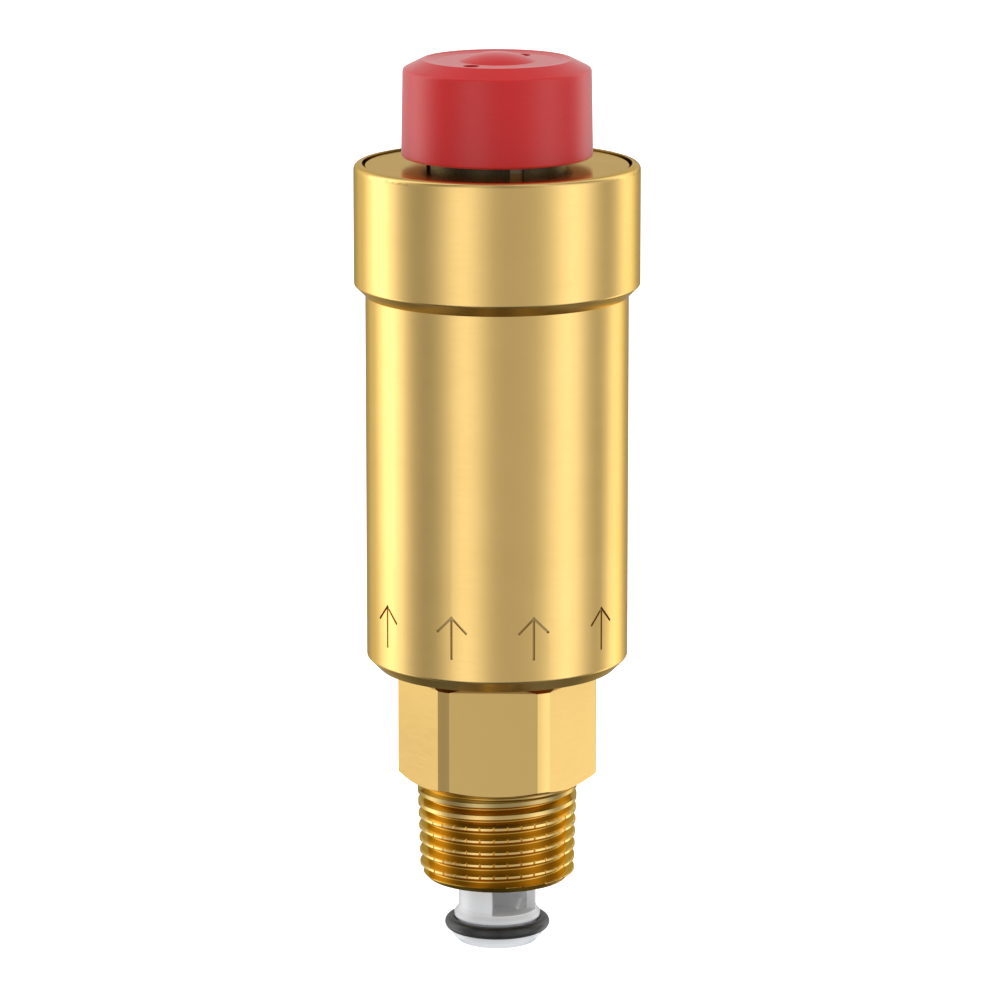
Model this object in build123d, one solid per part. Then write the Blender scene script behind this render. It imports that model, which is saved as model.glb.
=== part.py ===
from build123d import *
import math
import os

# Automatic air vent with its shut-off adapter. Millimetres, +Z up.
# The origin is on the vent's axis, in the plane of the adapter hexagon's lower shoulder.
os.makedirs("parts", exist_ok=True)

# Adapter: male taper thread R 3/8, hexagon and bores.
THREAD_R = 8.331
THREAD_PITCH = 1.337
THREAD_DEPTH = 0.66
THREAD_CREST = 0.28
THREAD_ROOT = 0.22
THREAD_END = -10.95
THREAD_GROOVES = 8
THREAD_FIRST_GROOVE = -0.58
NOTCH_COUNT = 35
NOTCH_WIDTH = 0.34
NOTCH_DEPTH = 0.22
NOTCH_TOP = -3.20
HEX_AF = 19.0
HEX_CORNER_R = 10.58
HEX_TOP = 12.15
HEX_TURN = -2.4
HEX_FOOT_R = 9.42
HEX_FOOT_CHAMFER = 0.52
HEX_SHOULDER = 11.30
HEX_TOP_R = 9.35
END_CHAMFER = 0.45
MOUTH_R = 6.05
ENTRY_R = 5.1
GUIDE_R = 4.22
GUIDE_END = -8.3
SPRING_FLOOR = -5.0
SPRING_ROOM_R = 6.0
SPRING_ROOM_TOP = 1.2
TAIL_BORE_R = 6.9
TAIL_BORE_TOP = 11.3

# Poppet of the shut-off valve.
STEM_R = 4.14
STEM_WALL = 0.85
COLLAR_R = 4.61
FOOT_R = 4.78
POPPET_END = -18.12
POPPET_RING_Z = -16.22
POPPET_RING_R = 4.96
POPPET_RING_MINOR = 0.66
RING_GROOVE_END = -16.91
RING_GROOVE_TOP = -15.42
COLLAR_TOP = -15.05
POPPET_TOP = 2.4
WINDOWS = ((-98.0, -14.0), (106.0, 176.0))
WINDOW_SILL = -14.56
CLIP_BASE = 0.60
CLIP_TOP = 1.60
CLIP_R = 5.7
POPPET_WIRE_R = 0.35
POPPET_COIL_R = 5.15

# Vent housing.
BASE_Z = 12.3
BASE_CHAMFER = 1.25
TAIL_END = 1.65
TAIL_R = 6.58
TAIL_ROOT_R = 5.85
TAIL_HOLE_R = 4.6
BODY_R = 13.88
HEAD_R = 15.07
HEAD_BASE = 53.53
HEAD_TOP = 66.27
HEAD_EDGE = 0.65
CHAMBER_R = 12.4
CHAMBER_FLOOR = 14.5
SCREEN_R = 5.15
SCREEN_SEAT = 0.6
SKIRT_BORE_R = 13.3
SKIRT_BORE_FLOOR = 57.6
COUNTERBORE_R = 14.15
COUNTERBORE_FLOOR = 64.65
MARK_COUNT = 10
MARK_Z = 18.2
MARK_TURN = 16.0
MARK_DEPTH = 0.20
MARK_LINE = 0.26
MARK_HEIGHT = 4.6
MARK_BARB = 2.2

# Cover, neck and cap.
COVER_R = 13.9
COVER_TOP = 66.1
SKIRT_R = 13.25
SKIRT_IN_R = 12.2
SKIRT_END = 58.55
NECK_R = 7.47
NECK_ROOT_R = 6.95
NECK_PITCH = 1.5
NECK_STEM_R = 5.0
NECK_STEM_END = 59.6
NECK_SHOULDER = 72.55
LIP_TOP = 73.18
NECK_HOLE_R = 1.8
SLOT_WIDTH = 1.5
SLOT_TURN = 16.0
CAP_TOP = 77.2
CAP_TOP_R = 7.88
CAP_SHOULDER = 76.2
CAP_SHOULDER_R = 9.89
CAP_END = 67.0
CAP_END_R = 10.05
CAP_BORE_R = 7.8
CAP_CEILING = 75.6
CAP_HOLE_R = 0.85
CAP_HOLE_RADIUS = 5.2
CAP_HOLE_TURN = 59.0
DOME_R = 4.0
DOME_HEIGHT = 0.92
DISH_DEPTH = 0.20
SEAL_R = 4.0
SEAL_BOTTOM = 73.95

# Float valve.
PIVOT_X = -9.0
PIVOT_Z = 58.0
PIVOT_R = 0.8
ARM = 18.0
ARM_CLOSED = 4.8
LEVER_SWING = 19.2
SEAT_TIP = 58.6
PAD_R = 2.2
PAD_TOP = 58.57
PAD_BASE = 57.57
FLOAT_R = 11.4
FLOAT_BASE = 15.5
FLOAT_TOP = 49.0
FLOAT_WALL = 0.9
LINK_X = 8.7
LINK_PIN_R = 0.55


# How a block sits on its own origin: standing on it, or standing on it and reaching along +X.
STANDING = (Align.CENTER, Align.CENTER, Align.MIN)
OUTWARD = (Align.MIN, Align.CENTER, Align.MIN)


def save(shape, name, colour):
    """Label a finished piece and write it to its own file."""
    shape.label = name
    shape.color = Color(*colour)
    export_step(shape, "parts/" + name + ".step")


def turned(points):
    """A solid of revolution about Z from a closed list of (radius, height) corners."""
    outline = Plane.XZ * make_face(Polyline(*points, close=True))
    return revolve(outline, Axis.Z)


def tube(outer, inner, low, high):
    """A plain ring of rectangular section."""
    return turned([(inner, low), (outer, low), (outer, high), (inner, high)])


def rod(radius, low, high):
    """A plain round bar on the axis."""
    return Pos(0, 0, low) * Cylinder(radius, high - low, align=STANDING)


def o_ring(radius, minor, height):
    """A round-section sealing ring."""
    return Pos(0, 0, height) * Torus(radius, minor)


def groove_profile(crest_r, root_r, pitch, crest, root, first, count):
    """Corners of parallel thread grooves, from the top one down."""
    points = []
    for k in range(count):
        middle = first - k * pitch
        points.append((crest_r, middle + (pitch - crest) / 2))
        points.append((root_r, middle + root / 2))
        points.append((root_r, middle - root / 2))
        points.append((crest_r, middle - (pitch - crest) / 2))
    return points


def pie(start, end, radius, height):
    """A wedge standing on the XY plane between two angles less than 180 degrees apart."""
    middle = math.radians((start + end) / 2)
    corners = [(0, 0)]
    for angle, reach in ((math.radians(start), 1), (middle, 1.4), (math.radians(end), 1)):
        corners.append((reach * radius * math.cos(angle), reach * radius * math.sin(angle)))
    return extrude(make_face(Polyline(*corners, close=True)), height)


def circles_at(shape, radius, height):
    """The circular edges of one radius at one height."""
    found = []
    for edge in shape.edges().filter_by(GeomType.CIRCLE):
        if abs(edge.radius - radius) < 0.01 and abs(edge.arc_center.Z - height) < 0.01:
            found.append(edge)
    return found


def cross_cylinder(x, z, radius, half_width):
    """A round bar lying along Y."""
    bar = Cylinder(radius, 2 * half_width)
    return Pos(x, 0, z) * Rot(90, 0, 0) * bar


def side_plate(x, z, radius, x2, z2, radius2, half_width):
    """A bar along Y whose outline is the belt round two circles in the XZ plane."""
    first = Pos(x, z) * Circle(radius)
    second = Pos(x2, z2) * Circle(radius2)
    belt = make_hull(first.edges() + second.edges())
    outline = Plane.XZ * belt
    return extrude(outline, half_width, both=True)


def thread_notches():
    """Axial notches across the lower thread crests."""
    height = NOTCH_TOP - THREAD_END + 1
    reach = THREAD_R - NOTCH_DEPTH
    corners = [
        (reach, 0),
        (THREAD_R + 0.3, -NOTCH_WIDTH),
        (THREAD_R + 0.3, NOTCH_WIDTH),
    ]
    wedge = extrude(make_face(Polyline(*corners, close=True)), height)
    wedge = Pos(0, 0, NOTCH_TOP - height) * wedge
    cuts = []
    for k in range(NOTCH_COUNT):
        cuts.append(Rot(0, 0, k * 360 / NOTCH_COUNT) * wedge)
    return cuts


def adapter_bore():
    """Everything removed along the adapter's axis."""
    return turned([
        (0, THREAD_END - 1),
        (MOUTH_R, THREAD_END - 1),
        (MOUTH_R, THREAD_END),
        (ENTRY_R, THREAD_END + MOUTH_R - ENTRY_R),
        (ENTRY_R, GUIDE_END),
        (GUIDE_R, GUIDE_END),
        (GUIDE_R, SPRING_FLOOR),
        (SPRING_ROOM_R, SPRING_FLOOR),
        (SPRING_ROOM_R, SPRING_ROOM_TOP),
        (TAIL_BORE_R, SPRING_ROOM_TOP),
        (TAIL_BORE_R, TAIL_BORE_TOP),
        (TAIL_BORE_R + HEX_TOP - TAIL_BORE_TOP, HEX_TOP),
        (TAIL_BORE_R + HEX_TOP - TAIL_BORE_TOP, HEX_TOP + 1),
        (0, HEX_TOP + 1),
    ])


def adapter_hexagon():
    """Hexagon with turned corners."""
    prism = extrude(RegularPolygon(HEX_AF / 2, 6, major_radius=False), HEX_TOP)
    blank = turned([
        (0, 0),
        (HEX_FOOT_R, 0),
        (HEX_CORNER_R, HEX_FOOT_CHAMFER),
        (HEX_CORNER_R, HEX_SHOULDER),
        (HEX_TOP_R, HEX_TOP),
        (0, HEX_TOP),
    ])
    return Rot(0, 0, HEX_TURN) * prism & blank


def make_shutoff_body():
    shank = [(0, 0.5), (THREAD_R, 0.5)]
    grooves = groove_profile(THREAD_R, THREAD_R - THREAD_DEPTH, THREAD_PITCH, THREAD_CREST, THREAD_ROOT,
                             THREAD_FIRST_GROOVE, THREAD_GROOVES)
    shank += grooves
    shank += [(THREAD_R, THREAD_END + END_CHAMFER), (THREAD_R - END_CHAMFER, THREAD_END), (0, THREAD_END)]
    body = turned(shank)
    body = body - thread_notches()
    body = body + adapter_hexagon()
    return body - adapter_bore()


def make_poppet():
    groove_r = POPPET_RING_R - POPPET_RING_MINOR
    foot = turned([
        (0, POPPET_END),
        (FOOT_R - 0.62, POPPET_END),
        (FOOT_R, POPPET_END + 0.65),
        (FOOT_R, RING_GROOVE_END),
        (groove_r, RING_GROOVE_END),
        (groove_r, RING_GROOVE_TOP),
        (COLLAR_R, RING_GROOVE_TOP),
        (COLLAR_R, COLLAR_TOP),
        (COLLAR_R - 0.12, COLLAR_TOP + 0.14),
        (STEM_R + 0.16, WINDOW_SILL - 0.12),
        (STEM_R, WINDOW_SILL + 0.28),
        (STEM_R, POPPET_TOP),
        (0, POPPET_TOP),
    ])
    well = turned([
        (0, WINDOW_SILL - 0.85),
        (STEM_R - STEM_WALL - 0.6, WINDOW_SILL - 0.85),
        (STEM_R - STEM_WALL, WINDOW_SILL + 0.25),
        (STEM_R - STEM_WALL, POPPET_TOP + 1),
        (0, POPPET_TOP + 1),
    ])
    clip_groove = tube(STEM_R + 1, STEM_R - 0.35, CLIP_BASE, CLIP_TOP)
    poppet = foot - well - clip_groove
    # Two windows, front right and back left, let water past the foot when the valve is open.
    for start, end in WINDOWS:
        poppet = poppet - Pos(0, 0, WINDOW_SILL) * pie(start, end, 8, 6.0)
    return poppet


def make_poppet_clip():
    ring = tube(CLIP_R, STEM_R - 0.31, CLIP_BASE + 0.02, CLIP_TOP - 0.02)
    gap = Pos(0, 5, (CLIP_BASE + CLIP_TOP) / 2) * Box(2.2, 10, 3)
    return ring - gap


def make_spring(coil_r, wire_r, low, high, turns):
    """A compression spring with its wire ends just inside the given heights."""
    rise = high - low - 2 * wire_r
    path = Pos(0, 0, low + wire_r) * Helix(rise / turns, rise, coil_r)
    section = Plane(path @ 0, z_dir=path % 0) * Circle(wire_r)
    return sweep(section, path)


def make_tail_ring():
    return o_ring(6.68, 0.49, BASE_Z - 0.50)


def up_arrow():
    """Outline of a plain line arrow, point upwards, centred on its own origin."""
    arrow = Rectangle(MARK_LINE, MARK_HEIGHT)
    aside = MARK_BARB / 2 * math.sqrt(0.5)
    for side in (-1, 1):
        barb = Rot(0, 0, -45 * side) * Rectangle(MARK_BARB + MARK_LINE, MARK_LINE)
        arrow = arrow + Pos(side * aside, MARK_HEIGHT / 2 - MARK_LINE / 2 - aside) * barb
    return arrow


def flow_marks():
    """Shallow engraved arrows round the foot of the body."""
    skin = tube(BODY_R + 1, BODY_R - MARK_DEPTH, MARK_Z - 4, MARK_Z + 4)
    prism = extrude(Plane.XZ * up_arrow(), 30)
    prism = Pos(0, 0, MARK_Z) * prism
    marks = []
    for k in range(MARK_COUNT):
        marks.append((Rot(0, 0, MARK_TURN + k * 360 / MARK_COUNT) * prism) & skin)
    return marks


def make_housing():
    tail = groove_profile(TAIL_R, TAIL_ROOT_R, THREAD_PITCH, 0.25, 0.25, 10.35, 6)
    profile = [(TAIL_HOLE_R, TAIL_END), (TAIL_R - 0.6, TAIL_END), (TAIL_R, TAIL_END + 0.6)]
    profile += list(reversed(tail))
    profile += [
        (TAIL_ROOT_R, TAIL_BORE_TOP),
        (TAIL_ROOT_R, BASE_Z),
        (BODY_R - BASE_CHAMFER, BASE_Z),
        (BODY_R, BASE_Z + BASE_CHAMFER),
        (BODY_R, HEAD_BASE - HEAD_R + BODY_R),
        (HEAD_R, HEAD_BASE),
        (HEAD_R, HEAD_TOP),
        (COUNTERBORE_R, HEAD_TOP),
        (COUNTERBORE_R, COUNTERBORE_FLOOR),
        (SKIRT_BORE_R, COUNTERBORE_FLOOR),
        (SKIRT_BORE_R, SKIRT_BORE_FLOOR),
        (CHAMBER_R, SKIRT_BORE_FLOOR),
        (CHAMBER_R, CHAMBER_FLOOR),
        (SCREEN_R + 0.05, CHAMBER_FLOOR),
        (SCREEN_R + 0.05, CHAMBER_FLOOR - SCREEN_SEAT),
        (TAIL_HOLE_R, CHAMBER_FLOOR - SCREEN_SEAT),
    ]
    body = turned(profile)
    body = fillet(circles_at(body, HEAD_R, HEAD_TOP), HEAD_EDGE)
    body = fillet(circles_at(body, HEAD_R, HEAD_BASE), 0.25)
    body = fillet(circles_at(body, BODY_R, BASE_Z + BASE_CHAMFER), 0.3)
    return body - flow_marks()


def make_inlet_screen():
    screen = rod(SCREEN_R, CHAMBER_FLOOR - SCREEN_SEAT, CHAMBER_FLOOR - 0.05)
    hole = rod(0.75, CHAMBER_FLOOR - 1, CHAMBER_FLOOR + 1)
    screen = screen - hole
    for k in range(6):
        screen = screen - Rot(0, 0, 60 * k) * Pos(2.3, 0, 0) * hole
    for k in range(12):
        screen = screen - Rot(0, 0, 30 * k + 15) * Pos(3.9, 0, 0) * hole
    return screen


def make_cover():
    cover = turned([
        (NECK_STEM_R + 0.05, COUNTERBORE_FLOOR),
        (SKIRT_IN_R, COUNTERBORE_FLOOR),
        (SKIRT_IN_R, SKIRT_END),
        (SKIRT_R, SKIRT_END),
        (SKIRT_R, COUNTERBORE_FLOOR),
        (COVER_R, COUNTERBORE_FLOOR),
        (COVER_R, COVER_TOP),
        (NECK_STEM_R + 0.05, COVER_TOP),
    ])
    return fillet(circles_at(cover, COVER_R, COVER_TOP), 0.15)


def make_cover_ring():
    return o_ring(12.81, 0.46, 58.07)


def make_neck():
    """Screwed outlet neck with a hollow stem clamped through the cover."""
    thread = groove_profile(NECK_R, NECK_ROOT_R, NECK_PITCH, 0.45, 0.45, 71.35, 3)
    neck = turned([
        (NECK_HOLE_R, LIP_TOP),
        (NECK_HOLE_R, 62.6),
        (2.6, 62.6),
        (2.6, NECK_STEM_END),
        (NECK_STEM_R, NECK_STEM_END),
        (NECK_STEM_R, 65.0),
        (4.25, 65.0),
        (4.25, 65.8),
        (NECK_STEM_R, 65.8),
        (NECK_STEM_R, COVER_TOP),
        (NECK_R, COVER_TOP),
    ] + list(reversed(thread)) + [
        (NECK_R, NECK_SHOULDER - 0.35),
        (NECK_R - 0.35, NECK_SHOULDER),
        (3.1, NECK_SHOULDER),
        (2.7, LIP_TOP),
    ])
    slot = Pos(NECK_ROOT_R - 0.1, 0, COVER_TOP - 1) * Box(2, SLOT_WIDTH, 10, align=OUTWARD)
    for k in range(4):
        neck = neck - Rot(0, 0, SLOT_TURN - 90 + 90 * k) * slot
    return neck


def make_neck_ring():
    return o_ring(4.66, 0.38, 65.4)


def make_neck_nut():
    prism = extrude(RegularPolygon(6.0, 6, major_radius=False), 2.45)
    blank = turned([
        (NECK_STEM_R, 0),
        (6.1, 0),
        (6.8, 0.4),
        (6.8, 2.45),
        (NECK_STEM_R, 2.45),
    ])
    return Pos(0, 0, 61.2) * (prism & blank)


def make_valve_seat():
    """Nozzle pressed into the neck, with the sealing tip pointing down into the chamber."""
    return turned([
        (0.9, 62.5),
        (0.9, SEAT_TIP),
        (1.45, SEAT_TIP),
        (1.9, 59.0),
        (3.4, 59.0),
        (3.4, NECK_STEM_END),
        (2.6, NECK_STEM_END),
        (2.6, 62.2),
        (2.4, 62.5),
    ])


def make_bracket():
    """Pressed bracket clamped under the cover by the nut, with two ears for the lever pin."""
    low = COUNTERBORE_FLOOR - 1.0
    plate = rod(7.4, low, COUNTERBORE_FLOOR)
    arm = Pos(-10.6, 0, low) * Box(10.6, 5.6, 1.0, align=OUTWARD)
    bracket = plate + arm - rod(NECK_STEM_R + 0.02, low - 1, COUNTERBORE_FLOOR + 1)
    ear = side_plate(PIVOT_X, PIVOT_Z, 1.45, PIVOT_X, low + 0.2, 1.45, 2.8)
    gap = Pos(PIVOT_X, 0, 60) * Box(6, 4.0, 14)
    above = Pos(PIVOT_X, 0, low + 3) * Box(8, 8, 6)
    bracket = bracket + (ear - gap - above)
    return bracket - cross_cylinder(PIVOT_X, PIVOT_Z, PIVOT_R, 6)


def make_pivot_pin():
    pin = cross_cylinder(PIVOT_X, PIVOT_Z, PIVOT_R, 3.1)
    head = Pos(PIVOT_X, -3.35, PIVOT_Z) * Rot(90, 0, 0) * Cylinder(1.2, 0.5)
    return pin + head


def at_rest(shape):
    """Swing a lever piece from its closed place down to its open rest place."""
    pivot = (PIVOT_X, 0, PIVOT_Z)
    back = (-PIVOT_X, 0, -PIVOT_Z)
    return Pos(*pivot) * Rot(0, LEVER_SWING, 0) * Pos(*back) * shape


def make_lever():
    tip = math.radians(ARM_CLOSED)
    link_x = PIVOT_X + ARM * math.cos(tip)
    link_z = PIVOT_Z + ARM * math.sin(tip)
    boss = cross_cylinder(PIVOT_X, PIVOT_Z, 1.6, 1.9)
    heel = side_plate(PIVOT_X, PIVOT_Z, 1.3, -4.0, 57.05, 0.5, 1.5)
    beam = side_plate(-4.0, 57.05, 0.5, 6.0, 57.05, 0.5, 1.5)
    rise = side_plate(6.0, 57.05, 0.5, link_x, link_z, 1.6, 1.0)
    cup = rod(PAD_R + 0.5, PAD_BASE - 1.0, PAD_BASE + 0.35) - rod(PAD_R, PAD_BASE, PAD_TOP)
    clear = rod(PAD_R, PAD_BASE, PAD_TOP + 1)
    lever = boss + heel + beam + rise + cup - clear
    lever = lever - cross_cylinder(PIVOT_X, PIVOT_Z, PIVOT_R + 0.05, 4)
    slot = side_plate(link_x - 0.35, link_z, 0.8, link_x + 0.35, link_z, 0.8, 3)
    return at_rest(lever - slot)


def make_pad():
    return at_rest(rod(PAD_R, PAD_BASE, PAD_TOP))


def make_float_shell():
    shell = turned([
        (FLOAT_R - FLOAT_WALL, FLOAT_BASE),
        (FLOAT_R, FLOAT_BASE),
        (FLOAT_R, FLOAT_TOP),
        (0, FLOAT_TOP),
        (0, FLOAT_TOP - 1.2),
        (FLOAT_R - FLOAT_WALL, FLOAT_TOP - 1.2),
    ])
    return fillet(circles_at(shell, FLOAT_R, FLOAT_TOP), 0.8)


def make_float_base():
    base = rod(FLOAT_R - FLOAT_WALL, FLOAT_BASE, FLOAT_BASE + 1.5)
    foot = Pos(8.0, 0, 0) * rod(1.2, CHAMBER_FLOOR + 0.03, FLOAT_BASE + 0.03)
    for k in range(3):
        base = base + Rot(0, 0, 120 * k) * foot
    return base


def link_height():
    """Height of the link pin with the float at the bottom."""
    return PIVOT_Z - ARM * math.sin(math.radians(LEVER_SWING - ARM_CLOSED))


def make_float_link():
    """Small clevis on the float top that lifts the end of the lever."""
    top = link_height()
    block = side_plate(LINK_X, top, 1.25, LINK_X, FLOAT_TOP + 1.25, 1.25, 2.15)
    foot = Pos(LINK_X, 0, FLOAT_TOP) * Box(2.5, 4.3, 0.8, align=STANDING)
    gap = Pos(LINK_X, 0, FLOAT_TOP + 0.8) * Box(6, 2.7, 12, align=STANDING)
    return block + foot - gap - cross_cylinder(LINK_X, top, LINK_PIN_R, 4)


def make_link_pin():
    return cross_cylinder(LINK_X, link_height(), LINK_PIN_R, 2.3)


def cap_dome():
    """Low round dome in the middle of the cap's dished top."""
    ball_r = (DOME_R ** 2 + DOME_HEIGHT ** 2) / (2 * DOME_HEIGHT)
    base = CAP_TOP - DISH_DEPTH
    return Pos(0, 0, base + DOME_HEIGHT - ball_r) * Sphere(ball_r) & rod(DOME_R, base - 0.2, CAP_TOP + 2)


def make_cap():
    cap = turned([
        (0, CAP_TOP - DISH_DEPTH),
        (6.5, CAP_TOP - DISH_DEPTH),
        (7.3, CAP_TOP - 0.08),
        (7.6, CAP_TOP),
        (CAP_TOP_R, CAP_TOP),
        (CAP_SHOULDER_R, CAP_SHOULDER),
        (CAP_END_R, CAP_END),
        (CAP_BORE_R + 0.25, CAP_END),
        (CAP_BORE_R, CAP_END + 0.25),
        (CAP_BORE_R, CAP_CEILING),
        (0.9, CAP_CEILING),
        (0.9, SEAL_BOTTOM + 0.15),
        (0, SEAL_BOTTOM + 0.15),
    ])
    cap = fillet(circles_at(cap, CAP_END_R, CAP_END), 0.25)
    cap = fillet(circles_at(cap, CAP_SHOULDER_R, CAP_SHOULDER), 0.45)
    cap = fillet(circles_at(cap, CAP_TOP_R, CAP_TOP), 0.12)
    cap = cap + cap_dome()
    hole = Pos(CAP_HOLE_RADIUS, 0, 0) * rod(CAP_HOLE_R, CAP_CEILING - 1, CAP_TOP + 1)
    for k in range(2):
        cap = cap - Rot(0, 0, CAP_HOLE_TURN + 180 * k) * hole
    return cap


def make_cap_seal():
    return tube(SEAL_R, 0.95, SEAL_BOTTOM, CAP_CEILING)


BRASS = (0.78, 0.62, 0.32)
STEEL = (0.72, 0.72, 0.72)
WHITE = (0.88, 0.88, 0.88)
BLACK = (0.08, 0.08, 0.08)
RUBBER = (0.12, 0.12, 0.12)
RED = (0.75, 0.14, 0.15)

save(make_shutoff_body(), "shutoff_body", BRASS)
save(make_poppet(), "shutoff_poppet", WHITE)
save(o_ring(POPPET_RING_R, POPPET_RING_MINOR, POPPET_RING_Z), "poppet_ring", RUBBER)
save(make_poppet_clip(), "poppet_clip", STEEL)
save(make_spring(POPPET_COIL_R, POPPET_WIRE_R, SPRING_FLOOR, CLIP_BASE, 4), "poppet_spring", STEEL)
save(make_tail_ring(), "tail_ring", RUBBER)
save(make_housing(), "vent_housing", BRASS)
save(make_inlet_screen(), "inlet_screen", STEEL)
save(make_cover(), "head_cover", BRASS)
save(make_cover_ring(), "cover_ring", RUBBER)
save(make_neck(), "vent_neck", BLACK)
save(make_neck_ring(), "neck_ring", RUBBER)
save(make_neck_nut(), "neck_nut", BRASS)
save(make_valve_seat(), "valve_seat", BRASS)
save(make_bracket(), "lever_bracket", STEEL)
save(make_pivot_pin(), "pivot_pin", STEEL)
save(make_lever(), "valve_lever", STEEL)
save(make_pad(), "valve_pad", RUBBER)
save(make_float_shell(), "float_shell", WHITE)
save(make_float_base(), "float_base", WHITE)
save(make_float_link(), "float_link", WHITE)
save(make_link_pin(), "link_pin", STEEL)
save(make_cap(), "vent_cap", RED)
save(make_cap_seal(), "cap_seal", RUBBER)
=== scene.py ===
"""Looks of the automatic air vent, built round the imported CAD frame. Metres, +Z up, -Y is the front."""

import math

import bmesh
import bpy
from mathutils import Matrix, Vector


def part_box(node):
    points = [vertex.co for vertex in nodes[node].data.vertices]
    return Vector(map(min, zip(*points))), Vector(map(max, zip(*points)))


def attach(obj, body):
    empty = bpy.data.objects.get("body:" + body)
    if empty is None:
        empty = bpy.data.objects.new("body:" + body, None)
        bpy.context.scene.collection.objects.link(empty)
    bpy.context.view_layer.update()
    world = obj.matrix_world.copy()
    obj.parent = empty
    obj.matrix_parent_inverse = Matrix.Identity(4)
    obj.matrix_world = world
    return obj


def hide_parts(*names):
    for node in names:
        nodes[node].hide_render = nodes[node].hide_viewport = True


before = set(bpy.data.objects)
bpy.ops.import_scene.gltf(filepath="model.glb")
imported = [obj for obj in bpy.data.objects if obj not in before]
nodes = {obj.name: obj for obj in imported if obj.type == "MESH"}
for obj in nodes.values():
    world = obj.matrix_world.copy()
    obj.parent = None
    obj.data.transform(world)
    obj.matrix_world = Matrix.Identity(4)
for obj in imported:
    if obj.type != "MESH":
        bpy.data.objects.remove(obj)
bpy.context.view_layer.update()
MM = 0.001

# The adapter's and materials' sizes below are in mm.
# Taper pipe thread of the adapter.
THREAD_R = 8.331
GAUGE_Z = -8.0
PITCH = 1.337
TAPER = 1 / 32
THREAD_DEPTH = 0.82
FLANK_BEND = 0.93
CREST_FRONT_Z = -1.12
TURNS = range(-11, 3)
# The thread gets shallower towards this height, over this length.
RUNOUT_TOP = 0.10
RUNOUT_LENGTH = 1.3
# In pitches from the middle of a crest: where the crest ends and where the root starts.
CREST_HALF = 0.085
ROOT_FROM = 0.455
# Crests get broader by this many pitches between these heights.
BROAD_EXTRA = 0.075
BROAD_FROM = -4.2
BROAD_FULL = -2.6
# Places across one pitch that get a row of the mesh, from one crest's lower edge up to the next.
PHASES = (-0.085, -0.04, 0.04, 0.085, 0.10, 0.14, 0.22, 0.30, 0.38, 0.43, 0.455,
          0.50, 0.545, 0.57, 0.62, 0.70, 0.78, 0.86, 0.90)
# Axial notches across the crests.
NOTCHES = 35
NOTCH_DEPTH = 0.17
NOTCH_HALF = 0.12
NOTCH_FROM = -3.15
# Shank's ends and bores. Its top is let into the hexagon.
SHANK_TOP = 0.02
END_CHAMFER = 0.66
END_CHAMFER_R = THREAD_R - 0.19
END_R = END_CHAMFER_R - END_CHAMFER
SHANK_BORE_R = 6.0
SHANK_BORE_END = -5.0
GUIDE_R = 4.22
GUIDE_END = -8.3
ENTRY_R = 5.1
# Hexagon, its turned chamfers and the socket inside it.
HEX_APOTHEM = 9.5
HEX_CORNER_R = 10.58
HEX_TURN = math.radians(-2.4)
HEX_TOP_R = 9.35
HEX_SHOULDER = 11.30
HEX_FOOT_R = 9.42
HEX_FOOT_SHOULDER = 0.54
SOCKET_R = 6.9
SOCKET_FLOOR = 1.2
SOCKET_CHAMFER_FROM = 11.3
# Engraved arrows on the body: radius of their floor and the heights they lie between.
MARK_FLOOR_R = 13.68
MARK_BAND = (15.2, 21.2)
# Bore of the head round the cover.
COUNTERBORE_R = 14.15
COUNTERBORE_FROM = 64.6
# Root of the neck's outer thread, which the vent slots are cut down to.
NECK_ROOT_R = 6.90


# ---------------------------------------------------------------- mesh helpers
def finish_mesh(name, bm, sharp_degrees=28):
    """Clean a bmesh, turn it into an object in the scene and shade it smooth between its sharp edges."""
    bmesh.ops.remove_doubles(bm, verts=bm.verts, dist=0.002 * MM)
    bmesh.ops.dissolve_degenerate(bm, edges=bm.edges, dist=0.0005 * MM)
    bmesh.ops.recalc_face_normals(bm, faces=bm.faces)
    mesh = bpy.data.meshes.new(name)
    bm.to_mesh(mesh)
    bm.free()
    for polygon in mesh.polygons:
        polygon.use_smooth = True
    mesh.set_sharp_from_angle(angle=math.radians(sharp_degrees))
    piece = bpy.data.objects.new(name, mesh)
    bpy.context.scene.collection.objects.link(piece)
    return piece


def polar_vert(bm, r, angle, z):
    """A vertex at a radius, angle and height."""
    return bm.verts.new((r * math.cos(angle) * MM, r * math.sin(angle) * MM, z * MM))


def wrap(bm, rows, angles, closed):
    """Quads round Z. Each row is a function of the angle giving (radius, height)."""
    grid = []
    for row in rows:
        ring = []
        for angle in angles:
            r, z = row(angle)
            ring.append(polar_vert(bm, r, angle, z))
        grid.append(ring)
    row_pairs = list(zip(grid, grid[1:]))
    if closed:
        row_pairs.append((grid[-1], grid[0]))
    for low, high in row_pairs:
        for j in range(len(angles)):
            k = (j + 1) % len(angles)
            bm.faces.new((low[j], low[k], high[k], high[j]))


def fixed(r, z):
    """A row of the same radius and height all the way round."""
    return lambda angle: (r, z)


def eased(value, low, high):
    """0 up to low, 1 from high, and eased between."""
    share = min(max((value - low) / (high - low), 0.0), 1.0)
    return share * share * (3 - 2 * share)


# ---------------------------------------------------------------- adapter: hexagon and shank
def hex_radius(angle):
    """Outline radius of the hexagon with its corners turned off."""
    # The angle from the nearest corner.
    local = (angle - HEX_TURN + math.pi / 6) % (math.pi / 3) - math.pi / 6
    from_flat = math.pi / 6 - abs(local)
    return min(HEX_APOTHEM / math.cos(from_flat), HEX_CORNER_R)


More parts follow.
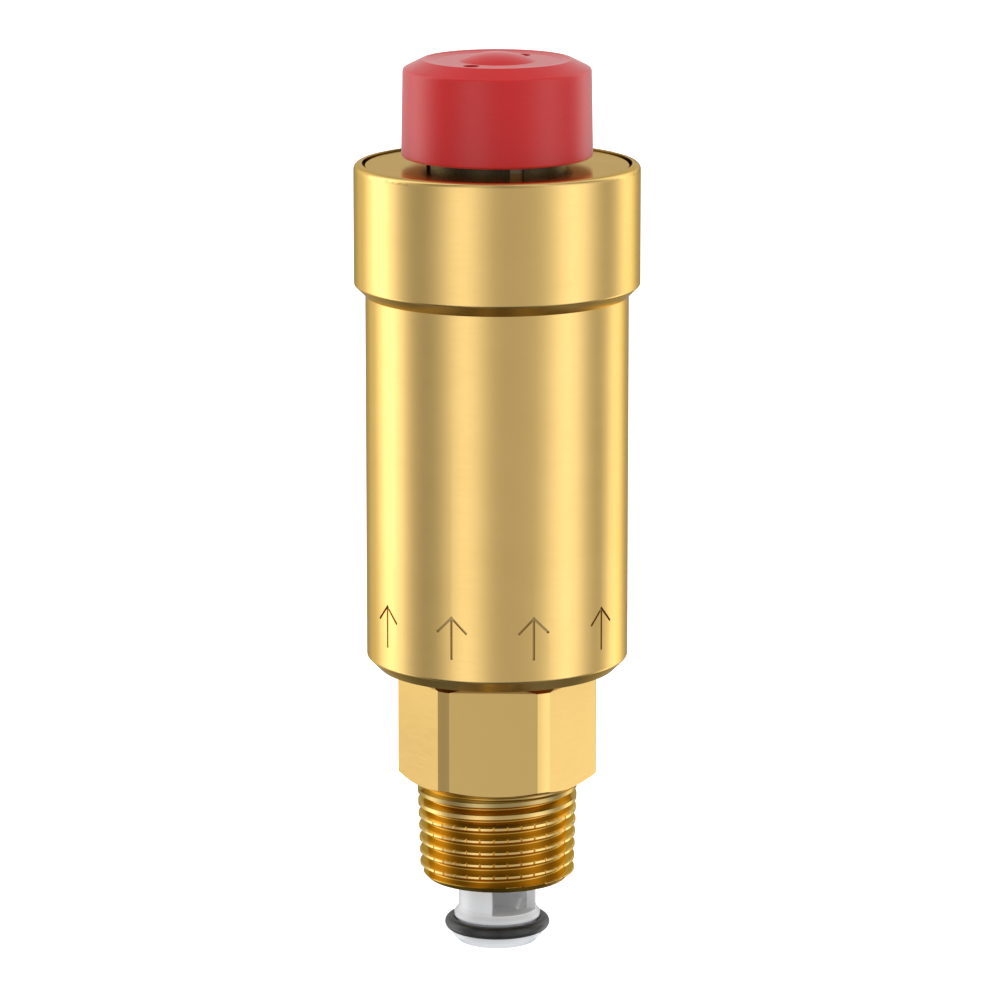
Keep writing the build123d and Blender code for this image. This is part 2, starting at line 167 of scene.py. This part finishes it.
def hex_angles():
    """Columns that fall on the flats' ends as well as evenly between."""
    corner = math.pi / 6 - math.acos(HEX_APOTHEM / HEX_CORNER_R)
    flat = math.pi / 3 - 2 * corner
    angles = []
    for k in range(6):
        middle = HEX_TURN + k * math.pi / 3
        angles += [middle + corner * j / 3 for j in range(-3, 4)]
        angles += [middle + corner + flat * j / 26 for j in range(1, 26)]
    return angles


def chamfer_row(r_face, z_face, z_corner, push, inset=0.0):
    """Where a turned chamfer meets the hexagon's sides, moved up by push and in by inset.

    The chamfer rises or falls from r_face at z_face to the turned corners at z_corner.
    """
    def row(angle):
        r = hex_radius(angle)
        share = (r - r_face) / (HEX_CORNER_R - r_face)
        return r - inset, z_face + share * (z_corner - z_face) + push
    return row


def build_hexagon(bm):
    """The hexagon with its socket. Pairs of close rows keep the flats' shading flat at the chamfers."""
    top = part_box("shutoff_body")[1].z / MM
    upper = (HEX_TOP_R, top - 0.02, HEX_SHOULDER)
    lower = (HEX_FOOT_R, 0.02, HEX_FOOT_SHOULDER)
    rows = [
        fixed(SOCKET_R, SOCKET_FLOOR),
        fixed(SOCKET_R, SOCKET_CHAMFER_FROM),
        fixed(SOCKET_R + top - SOCKET_CHAMFER_FROM, top),
        fixed(HEX_TOP_R - 0.13, top),
        fixed(HEX_TOP_R, top - 0.04),
        chamfer_row(*upper, push=0.03, inset=0.02),
        chamfer_row(*upper, push=-0.03),
        chamfer_row(*upper, push=-0.12),
        chamfer_row(*lower, push=0.12),
        chamfer_row(*lower, push=0.03),
        chamfer_row(*lower, push=-0.03, inset=0.02),
        fixed(HEX_FOOT_R - 0.04, 0.0),
        fixed(7.9, 0.0),
        fixed(7.3, 0.02),
        fixed(SHANK_BORE_R, 0.05),
        fixed(SHANK_BORE_R, SOCKET_FLOOR),
    ]
    wrap(bm, rows, hex_angles(), closed=True)


def crest_radius(z):
    """Radius of the taper thread's crests at a height."""
    return THREAD_R + (z - GAUGE_Z) * TAPER


def thread_radius(phase, z):
    """Radius of the taper thread at a phase within one pitch, where 0 is the middle of a crest."""
    depth = THREAD_DEPTH * eased(RUNOUT_TOP - z, 0.0, RUNOUT_LENGTH)
    u = abs((phase + 0.5) % 1.0 - 0.5)
    down = min(max((u - CREST_HALF) / (ROOT_FROM - CREST_HALF), 0.0), 1.0)
    return crest_radius(z) - depth * down ** FLANK_BEND


def crest_spread(phase, z):
    """Shift of one mesh row, in pitches, that leaves the crests broader near the hexagon."""
    wider = BROAD_EXTRA * eased(z, BROAD_FROM, BROAD_FULL)
    u = (phase + 0.5) % 1.0 - 0.5
    if abs(u) <= CREST_HALF:
        return wider * u / CREST_HALF
    return math.copysign(wider * (0.5 - abs(u)) / (0.5 - CREST_HALF), u)


def notch_columns():
    """Columns through each notch's bottom and edges and a few between.

    Each is an angle and how far it lies from the notch's bottom, 1 at its edge and beyond.
    """
    columns = []
    half = NOTCH_HALF / THREAD_R
    step = 2 * math.pi / NOTCHES
    for k in range(NOTCHES):
        middle = k * step
        columns += [(middle + share * half, abs(share)) for share in (-1.0, -0.5, 0.0, 0.5, 1.0)]
        columns += [(middle + half + (step - 2 * half) * j / 6, 1.0) for j in range(1, 6)]
    return columns


def shank_point(turn, phase, angle, aside, end):
    """Radius and height of one point of the threaded surface, held between the shank's two ends."""
    z = CREST_FRONT_Z + PITCH * (turn + phase + (angle + math.pi / 2) / (2 * math.pi))
    z += PITCH * crest_spread(phase, z)
    if z < end:
        return END_R, end
    if z > SHANK_TOP:
        return crest_radius(0.0), SHANK_TOP
    r = thread_radius(phase, z)
    if z < NOTCH_FROM:
        r = min(r, crest_radius(z) - NOTCH_DEPTH * (1.0 - aside))
    chamfer_from = end + END_CHAMFER
    if z < chamfer_from:
        r = min(r, END_CHAMFER_R - (chamfer_from - z))
    return r, z


def build_shank(bm):
    """The threaded shank: one helical sheet round it, closed by its end faces and bores."""
    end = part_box("shutoff_body")[0].z / MM
    columns = notch_columns()
    angles = [angle for angle, aside in columns]
    columns.append((columns[0][0] + 2 * math.pi, columns[0][1]))
    grid = []
    for turn in TURNS:
        for phase in PHASES:
            ring = []
            for angle, aside in columns:
                r, z = shank_point(turn, phase, angle, aside, end)
                ring.append(polar_vert(bm, r, angle, z))
            grid.append(ring)
    for lower, upper in zip(grid, grid[1:]):
        for j in range(len(columns) - 1):
            corners = (lower[j], lower[j + 1], upper[j + 1], upper[j])
            if len(set(round(v.co.z / MM, 4) for v in corners)) > 1:
                bm.faces.new(corners)
    inner = [
        fixed(crest_radius(0.0), SHANK_TOP),
        fixed(SHANK_BORE_R, SHANK_TOP),
        fixed(SHANK_BORE_R, SHANK_BORE_END),
        fixed(GUIDE_R, SHANK_BORE_END),
        fixed(GUIDE_R, GUIDE_END),
        fixed(ENTRY_R, GUIDE_END),
        fixed(ENTRY_R, end + 0.95),
        fixed(ENTRY_R + 0.9, end + 0.05),
        fixed(ENTRY_R + 1.0, end),
        fixed(END_R, end),
    ]
    wrap(bm, inner, angles, closed=False)


def build_adapter():
    """The adapter's hexagon and its threaded shank, which stand for the CAD adapter body."""
    bm = bmesh.new()
    build_hexagon(bm)
    hexagon = finish_mesh("adapter_hexagon", bm, 14)
    bm = bmesh.new()
    build_shank(bm)
    shank = finish_mesh("adapter_shank", bm, 24)
    for piece in (hexagon, shank):
        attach(piece, "shutoff_valve")
    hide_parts("shutoff_body")
    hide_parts("shutoff_body")
    return hexagon, shank


# ---------------------------------------------------------------- materials
class Finish:
    """A node material with millimetre object coordinates to hang detail on."""

    def __init__(self, name, **inputs):
        self.material = bpy.data.materials.new(name)
        self.material.use_nodes = True
        self.tree = self.material.node_tree
        self.shader = self.tree.nodes["Principled BSDF"]
        for key, value in inputs.items():
            self.shader.inputs[key.replace("_", " ")].default_value = value
        coordinates = self.tree.nodes.new("ShaderNodeTexCoord")
        scale = self.tree.nodes.new("ShaderNodeVectorMath")
        scale.operation = "SCALE"
        scale.inputs["Scale"].default_value = 1 / MM
        self.tree.links.new(coordinates.outputs["Object"], scale.inputs[0])
        self.mm = scale.outputs[0]
        self.tone = None
        self.bump_out = None

    def node(self, kind, **settings):
        made = self.tree.nodes.new("ShaderNode" + kind)
        for key, value in settings.items():
            setattr(made, key, value)
        return made

    def link(self, a, b):
        self.tree.links.new(a, b)

    def stretched(self, x, y, z):
        """Millimetre coordinates multiplied along each axis."""
        made = self.node("VectorMath", operation="MULTIPLY")
        made.inputs[1].default_value = (x, y, z)
        self.link(self.mm, made.inputs[0])
        return made.outputs[0]

    def noise(self, scale, detail=3.0, rough=0.5, vector=None):
        made = self.node("TexNoise")
        made.inputs["Scale"].default_value = scale
        made.inputs["Detail"].default_value = detail
        made.inputs["Roughness"].default_value = rough
        self.link(self.mm if vector is None else vector, made.inputs["Vector"])
        return made.outputs["Fac"]

    def ramp(self, value, low, high, a=0.0, b=1.0):
        """Map a value's span low..high onto a..b, clamped."""
        made = self.node("MapRange")
        made.inputs["From Min"].default_value = low
        made.inputs["From Max"].default_value = high
        made.inputs["To Min"].default_value = a
        made.inputs["To Max"].default_value = b
        self.link(value, made.inputs["Value"])
        return made.outputs["Result"]

    def maths(self, operation, a, b):
        made = self.node("Math", operation=operation)
        self.link(a, made.inputs[0])
        self.link(b, made.inputs[1])
        return made.outputs[0]

    def blend(self, factor, a, b):
        """Mix two colours, each a tuple or a socket."""
        made = self.node("Mix", data_type="RGBA")
        self.link(factor, made.inputs[0])
        for key, value in (("A", a), ("B", b)):
            socket = [s for s in made.inputs if s.name == key and s.type == "RGBA"][0]
            if isinstance(value, tuple):
                socket.default_value = (*value, 1.0)
            else:
                self.link(value, socket)
        return [s for s in made.outputs if s.type == "RGBA"][0]

    def bump(self, height, distance_mm, strength):
        """Add a bump on top of the ones before."""
        made = self.node("Bump")
        made.inputs["Strength"].default_value = strength
        made.inputs["Distance"].default_value = distance_mm * MM
        self.link(height, made.inputs["Height"])
        if self.bump_out is not None:
            self.link(self.bump_out, made.inputs["Normal"])
        self.bump_out = made.outputs["Normal"]
        self.link(self.bump_out, self.shader.inputs["Normal"])

    def colour(self, socket):
        """Set the surface's colour. It stays in tone, to build on."""
        self.tone = socket
        self.link(socket, self.shader.inputs["Base Color"])

    def roughness(self, socket):
        self.link(socket, self.shader.inputs["Roughness"])

    def height(self):
        """Height above the origin in mm."""
        made = self.node("SeparateXYZ")
        self.link(self.mm, made.inputs[0])
        return made.outputs["Z"]

    def axis_distance(self):
        """Distance from the vent's axis in mm."""
        flat = self.stretched(1, 1, 0)
        made = self.node("VectorMath", operation="LENGTH")
        self.link(flat, made.inputs[0])
        return made.outputs["Value"]


def turned_brass(name, light, dark, rough_low, rough_high, edge_blue=0.48):
    """Lathe-turned, polished brass: fine rings, faint streaks along them, tarnish in patches."""
    m = Finish(name, Metallic=1.0, Specular_Tint=(1.0, 0.84, edge_blue, 1.0))
    rings = m.noise(1.0, detail=4, rough=0.7, vector=m.stretched(0.05, 0.05, 14.0))
    streaks = m.noise(1.0, detail=2, vector=m.stretched(0.35, 0.35, 6.0))
    patches = m.noise(0.16, detail=4, rough=0.6)
    specks = m.noise(5.5, rough=0.65)
    tone = m.blend(m.ramp(patches, 0.35, 0.70, 0.0, 0.35), light, dark)
    m.colour(m.blend(m.ramp(streaks, 0.45, 0.75, 0.0, 0.08), tone, dark))
    rough = m.ramp(streaks, 0.3, 0.7, rough_low, rough_high)
    m.roughness(m.maths("ADD", rough, m.ramp(specks, 0.62, 0.75, 0.0, 0.08)))
    m.bump(rings, 0.0008, 0.6)
    m.bump(specks, 0.0012, 0.5)
    return m


def brass_body():
    """Polished brass, darker on the floor of the engraved arrows, with painted shade in the slit round
    the cover.
    """
    m = turned_brass("body_brass", (0.86, 0.59, 0.215), (0.78, 0.52, 0.17), 0.155, 0.205)
    # Darker colour on the floor of the engraved arrows.
    cut = m.ramp(m.axis_distance(), MARK_FLOOR_R + 0.03, MARK_FLOOR_R + 0.12, 1.0, 0.0)
    above_foot = m.ramp(m.height(), MARK_BAND[0], MARK_BAND[0] + 0.1)
    below_top = m.ramp(m.height(), MARK_BAND[1] - 0.1, MARK_BAND[1], 1.0, 0.0)
    cut = m.maths("MULTIPLY", cut, m.maths("MULTIPLY", above_foot, below_top))
    tone = m.blend(cut, m.tone, (0.40, 0.29, 0.12))
    # Painted shade: the slit round the cover is coloured dark, as shade between the rim and the cover.
    outside = m.ramp(m.axis_distance(), COUNTERBORE_R - 0.12, COUNTERBORE_R - 0.04)
    inside = m.ramp(m.axis_distance(), COUNTERBORE_R + 0.02, COUNTERBORE_R + 0.06, 1.0, 0.0)
    slit_shade = m.maths("MULTIPLY", outside, inside)
    slit_shade = m.maths("MULTIPLY", slit_shade, m.ramp(m.height(), COUNTERBORE_FROM, COUNTERBORE_FROM + 0.1))
    m.colour(m.blend(slit_shade, tone, (0.20, 0.15, 0.07)))
    return m


def brass_adapter():
    """The hexagon's brass, with painted shade darkening its top and the turned chamfer under the vent."""
    m = turned_brass("adapter_brass", (0.80, 0.55, 0.195), (0.75, 0.51, 0.17), 0.10, 0.15, edge_blue=0.62)
    # Painted shade under the vent: the hexagon's top chamfer is coloured dark brown.
    top = m.ramp(m.height(), HEX_SHOULDER, HEX_SHOULDER + 0.12)
    m.colour(m.blend(top, m.tone, (0.36, 0.20, 0.06)))
    return m


def brass_thread():
    """Bright on the crests, deeper and darker towards the roots as painted shade and inter-reflection,
    darker and greyer towards the top where the thread runs out.
    """
    m = turned_brass("thread_brass", (0.86, 0.60, 0.22), (0.78, 0.52, 0.16), 0.11, 0.18)
    # Painted shade and inter-reflection: a deeper, darker colour towards the roots, by distance from the
    # axis.
    depth = m.ramp(m.axis_distance(), THREAD_R - 0.22, THREAD_R - 0.02, 1.0, 0.0)
    # Darker, greyer colour towards the top of the thread, under the hexagon.
    tone = m.blend(m.ramp(m.height(), -2.9, -1.6, 0.0, 0.80), m.tone, (0.40, 0.31, 0.13))
    m.colour(m.blend(depth, tone, (0.54, 0.33, 0.055)))
    return m


def red_plastic():
    """Moulded cap, slightly hazy at grazing angles, with pale scuffs round it."""
    m = Finish("cap_red", Specular_IOR_Level=0.55, Sheen_Weight=0.5, Sheen_Roughness=0.3)
    cloud = m.noise(0.22)
    grain = m.noise(9.0, rough=0.6)
    scuffs = m.noise(1.0, detail=2, vector=m.stretched(0.5, 0.5, 5.0))
    tone = m.blend(m.ramp(cloud, 0.3, 0.7), (0.64, 0.009, 0.011), (0.61, 0.008, 0.010))
    m.colour(m.blend(m.ramp(scuffs, 0.62, 0.80, 0.0, 0.20), tone, (0.60, 0.06, 0.06)))
    m.roughness(m.ramp(grain, 0.3, 0.7, 0.27, 0.36))
    m.bump(grain, 0.004, 0.35)
    return m


def plastic(name, a, b, rough_low, rough_high, grain_mm):
    """Moulded plastic with a faint cloud of tone and a fine grain."""
    m = Finish(name)
    cloud = m.noise(0.35)
    grain = m.noise(8.0, rough=0.6)
    m.colour(m.blend(m.ramp(cloud, 0.3, 0.7), a, b))
    m.roughness(m.ramp(grain, 0.3, 0.7, rough_low, rough_high))
    m.bump(grain, grain_mm, 0.35)
    return m


def neck_plastic():
    """Black moulded neck, with a painted reflection making it pale where its vent slots are cut down to
    the root of the thread.
    """
    m = plastic("neck_black", (0.016, 0.014, 0.012), (0.03, 0.027, 0.024), 0.20, 0.32, 0.004)
    # Painted reflection: the slot floors at the thread's root are coloured pale.
    painted_slot_reflection = m.ramp(m.axis_distance(), NECK_ROOT_R, NECK_ROOT_R + 0.08, 1.0, 0.0)
    m.colour(m.blend(painted_slot_reflection, m.tone, (0.46, 0.42, 0.36)))
    return m


def rubber():
    """Moulded sealing rubber, slightly greasy."""
    m = Finish("seal_rubber")
    cloud = m.noise(0.8, detail=4)
    grain = m.noise(12.0, rough=0.7)
    m.colour(m.blend(m.ramp(cloud, 0.35, 0.7), (0.016, 0.016, 0.017), (0.034, 0.033, 0.032)))
    m.roughness(m.ramp(grain, 0.3, 0.7, 0.24, 0.38))
    m.bump(grain, 0.004, 0.4)
    return m


def steel():
    """Drawn and rolled spring steel."""
    m = Finish("spring_steel", Metallic=1.0)
    streaks = m.noise(1.0, vector=m.stretched(6.0, 0.6, 6.0))
    cloud = m.noise(0.5)
    m.colour(m.blend(m.ramp(cloud, 0.3, 0.7), (0.62, 0.61, 0.59), (0.48, 0.47, 0.46)))
    m.roughness(m.ramp(streaks, 0.3, 0.7, 0.22, 0.38))
    m.bump(streaks, 0.003, 0.5)
    return m


def dress(finish, *pieces):
    """Give a finish to objects, or to CAD nodes by name."""
    for piece in pieces:
        if isinstance(piece, str):
            piece = nodes[piece]
        piece.data.materials.clear()
        piece.data.materials.append(finish.material)


# ---------------------------------------------------------------- stage, light and camera
WHITE = (1.0, 1.0, 1.0, 1.0)
# In metres.
FLOOR_GAP = 0.0004
CAMERA_PLACE = (0.00030, -0.56697, 0.15183)
CAMERA_TILT_DEGREES = 12.114
CAMERA_LENS = 196.85

# Tall soft boxes round the object: azimuth from the front in degrees, half width, strength.
LEFT_BOX = (-109, 22, 1.67)
RIGHT_BOX = (128, 18, 1.04)
BACK_BOX = (180, 70, 0.20)
STEADY_BOXES = ((-146, 9, 0.23), (-28, 20, 0.86), (19, 24, 0.18), (64, 22, 1.05))
SURROUND = 0.36
# How much of the surround's light still reaches matt surfaces from straight below.
GROUND_LIGHT = 1.00
# Sines of elevation across which the side boxes change in strength.
UPPER_EDGE = (-0.246, -0.236)
LOWER_EDGE = (-0.276, -0.264)


def build_stage():
    """A wide pale floor under the lowest point. It shows in no reflection and casts no light."""
    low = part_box("shutoff_poppet")[0].z
    bm = bmesh.new()
    bmesh.ops.create_grid(bm, x_segments=8, y_segments=8, size=6.0)
    floor = finish_mesh("floor", bm)
    floor.location.z = low - FLOOR_GAP
    m = Finish("floor_pale", Roughness=0.9, Emission_Color=WHITE, Emission_Strength=0.60)
    m.colour(m.blend(m.noise(0.02, detail=2), (0.93, 0.93, 0.93), (0.95, 0.95, 0.95)))
    dress(m, floor)
    floor.visible_glossy = False
    floor.visible_diffuse = False
    floor.visible_shadow = False


def build_world():
    """Soft studio surround: tall soft boxes as smooth bands of the sky, fading overhead and below."""
    world = bpy.data.worlds.new("studio")
    bpy.context.scene.world = world
    world.use_nodes = True
    tree = world.node_tree
    tree.nodes.clear()
    link = tree.links.new
    coordinates = tree.nodes.new("ShaderNodeTexCoord")
    split = tree.nodes.new("ShaderNodeSeparateXYZ")
    link(coordinates.outputs["Generated"], split.inputs[0])

    def maths(operation, *values):
        made = tree.nodes.new("ShaderNodeMath")
        made.operation = operation
        for k, value in enumerate(values):
            if isinstance(value, (int, float)):
                made.inputs[k].default_value = value
            else:
                link(value, made.inputs[k])
        return made.outputs[0]

    # Azimuth in turns, 0 towards the front and growing towards the right.
    forward = maths("MULTIPLY", split.outputs["Y"], -1.0)
    azimuth = maths("DIVIDE", maths("ARCTAN2", split.outputs["X"], forward), 2 * math.pi)

    def soft_box(centre_degrees, half_width_degrees, strength):
        """A smooth hump of light round one azimuth."""
        gap = maths("ABSOLUTE", maths("SUBTRACT", azimuth, centre_degrees / 360))
        gap = maths("MINIMUM", gap, maths("SUBTRACT", 1.0, gap))
        share = maths("DIVIDE", gap, half_width_degrees / 360)
        bell = maths("EXPONENT", maths("MULTIPLY", maths("MULTIPLY", share, share), -1.0))
        return maths("MULTIPLY", bell, strength)

    def ramp(low, high, start, end):
        """A smooth step over the sine of the elevation."""
        made = tree.nodes.new("ShaderNodeMapRange")
        made.interpolation_type = "SMOOTHSTEP"
        made.inputs["From Min"].default_value = low
        made.inputs["From Max"].default_value = high
        made.inputs["To Min"].default_value = start
        made.inputs["To Max"].default_value = end
        link(split.outputs["Z"], made.inputs["Value"])
        return made.outputs["Result"]

    left_level = maths("MULTIPLY", ramp(*UPPER_EDGE, 0.56, 1.0), ramp(*LOWER_EDGE, 1.75, 1.0))
    left_box = maths("MULTIPLY", soft_box(*LEFT_BOX), left_level)
    right_box = maths("MULTIPLY", soft_box(*RIGHT_BOX), ramp(*UPPER_EDGE, 1.33, 1.0))
    back_box = maths("MULTIPLY", soft_box(*BACK_BOX), ramp(0.0, 0.12, 0.0, 1.0))
    total = maths("ADD", maths("ADD", left_box, right_box), back_box)
    for box in STEADY_BOXES:
        total = maths("ADD", total, soft_box(*box))
    total = maths("ADD", total, SURROUND)
    # Softer overhead, and dim straight below for all but the matt surfaces.
    total = maths("MULTIPLY", total, ramp(0.35, 0.85, 1.0, 0.62))
    path = tree.nodes.new("ShaderNodeLightPath")
    ground = maths("MULTIPLY", path.outputs["Is Diffuse Ray"], GROUND_LIGHT)
    total = maths("MULTIPLY", total, maths("MAXIMUM", ramp(-0.80, -0.40, 0.17, 1.0), ground))

    # The camera itself sees plain white behind the object.
    light = tree.nodes.new("ShaderNodeBackground")
    light.inputs["Color"].default_value = WHITE
    link(total, light.inputs["Strength"])
    plain = tree.nodes.new("ShaderNodeBackground")
    plain.inputs["Color"].default_value = WHITE
    mix = tree.nodes.new("ShaderNodeMixShader")
    link(path.outputs["Is Camera Ray"], mix.inputs["Fac"])
    link(light.outputs[0], mix.inputs[1])
    link(plain.outputs[0], mix.inputs[2])
    output = tree.nodes.new("ShaderNodeOutputWorld")
    link(mix.outputs[0], output.inputs["Surface"])


def build_top_light():
    """Broad light from above that fills but doesn't glint."""
    data = bpy.data.lights.new("top_light", "SUN")
    data.energy = 0.85
    data.angle = math.radians(50)
    lamp = bpy.data.objects.new("top_light", data)
    lamp.visible_glossy = False
    bpy.context.scene.collection.objects.link(lamp)


def build_camera():
    """Long lens in front of the vent, looking slightly down."""
    data = bpy.data.cameras.new("camera")
    data.sensor_width = 36.0
    data.lens = CAMERA_LENS
    data.clip_start = 0.01
    data.clip_end = 50.0
    camera = bpy.data.objects.new("camera", data)
    camera.location = CAMERA_PLACE
    camera.rotation_euler = (math.radians(90 - CAMERA_TILT_DEGREES), 0, 0)
    bpy.context.scene.collection.objects.link(camera)
    bpy.context.scene.camera = camera


build_camera()
build_world()
build_top_light()
build_stage()
bpy.context.scene.view_settings.view_transform = "Standard"
bpy.context.scene.view_settings.look = "None"

hexagon, shank = build_adapter()
dress(brass_adapter(), hexagon)
dress(brass_thread(), shank)
dress(brass_body(), "vent_housing", "head_cover", "neck_nut", "valve_seat")
dress(red_plastic(), "vent_cap")
dress(neck_plastic(), "vent_neck")
dress(plastic("poppet_white", (0.92, 0.94, 0.97), (0.90, 0.92, 0.95), 0.10, 0.18, 0.002),
      "shutoff_poppet")
dress(plastic("float_plastic", (0.72, 0.71, 0.66), (0.66, 0.65, 0.60), 0.32, 0.45, 0.005),
      "float_shell", "float_base", "float_link")
dress(rubber(), "poppet_ring", "tail_ring", "cover_ring", "neck_ring", "valve_pad", "cap_seal")
dress(steel(), "poppet_clip", "poppet_spring", "inlet_screen", "lever_bracket", "pivot_pin",
      "valve_lever", "link_pin")
